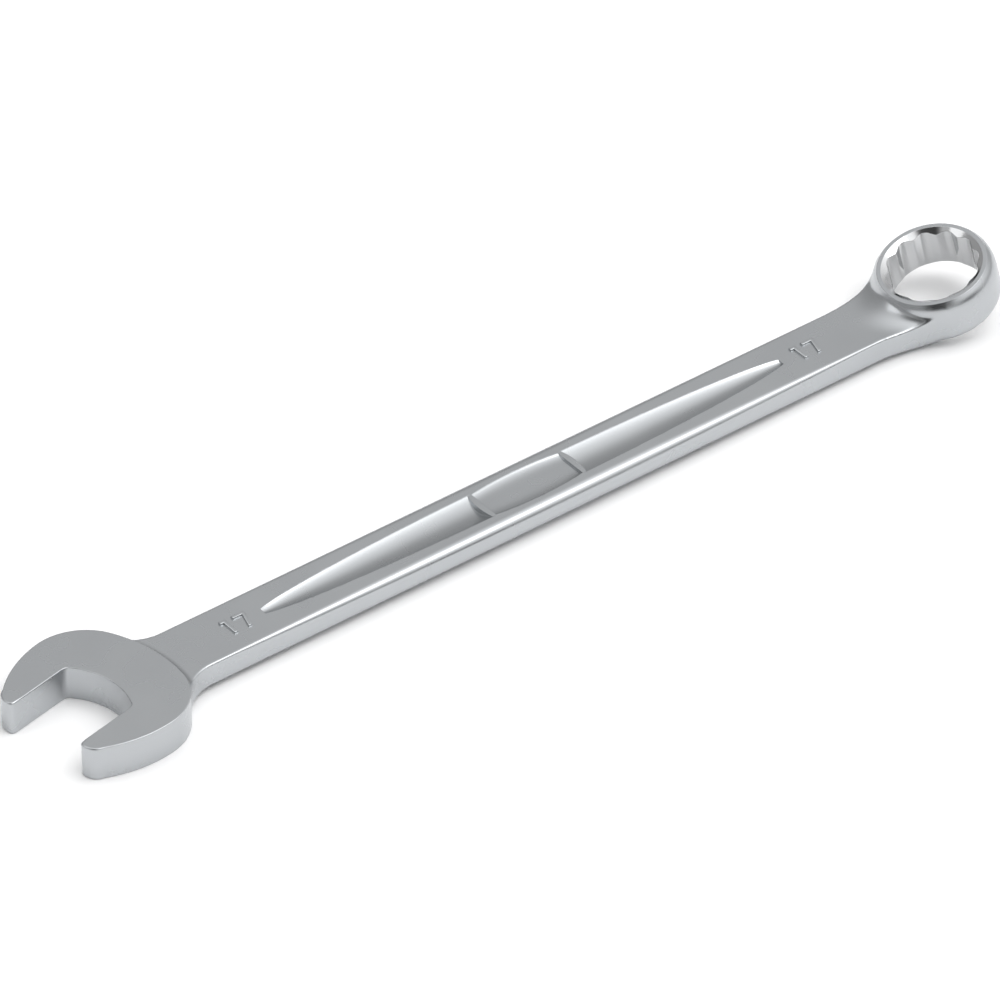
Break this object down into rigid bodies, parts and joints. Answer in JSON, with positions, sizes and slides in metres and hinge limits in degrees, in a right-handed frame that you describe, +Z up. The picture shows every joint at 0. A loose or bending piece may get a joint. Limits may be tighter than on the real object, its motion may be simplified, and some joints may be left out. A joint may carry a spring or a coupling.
{
  "type": "combination wrench",
  "caption": "Forged combination wrench: flat open end turned slightly off the handle, barrel-sided shank with a scooped channel, and a tilted twelve-point ring end.",
  "frame": {"origin": "centre of the bounding box in plan, on the surface the wrench lies on", "axes": "+X along the handle from the open end to the ring end, +Z up, away from the surface it lies on"},
  "size_m": [0.2344, 0.035, 0.0154],
  "materials": {
    "chrome_plate": "satin chrome plate, with polished edges, jaw bevels and bore"
  },
  "bodies": {
    "root": {"wrench_body": "chrome_plate"}
  },
  "joints": []
}
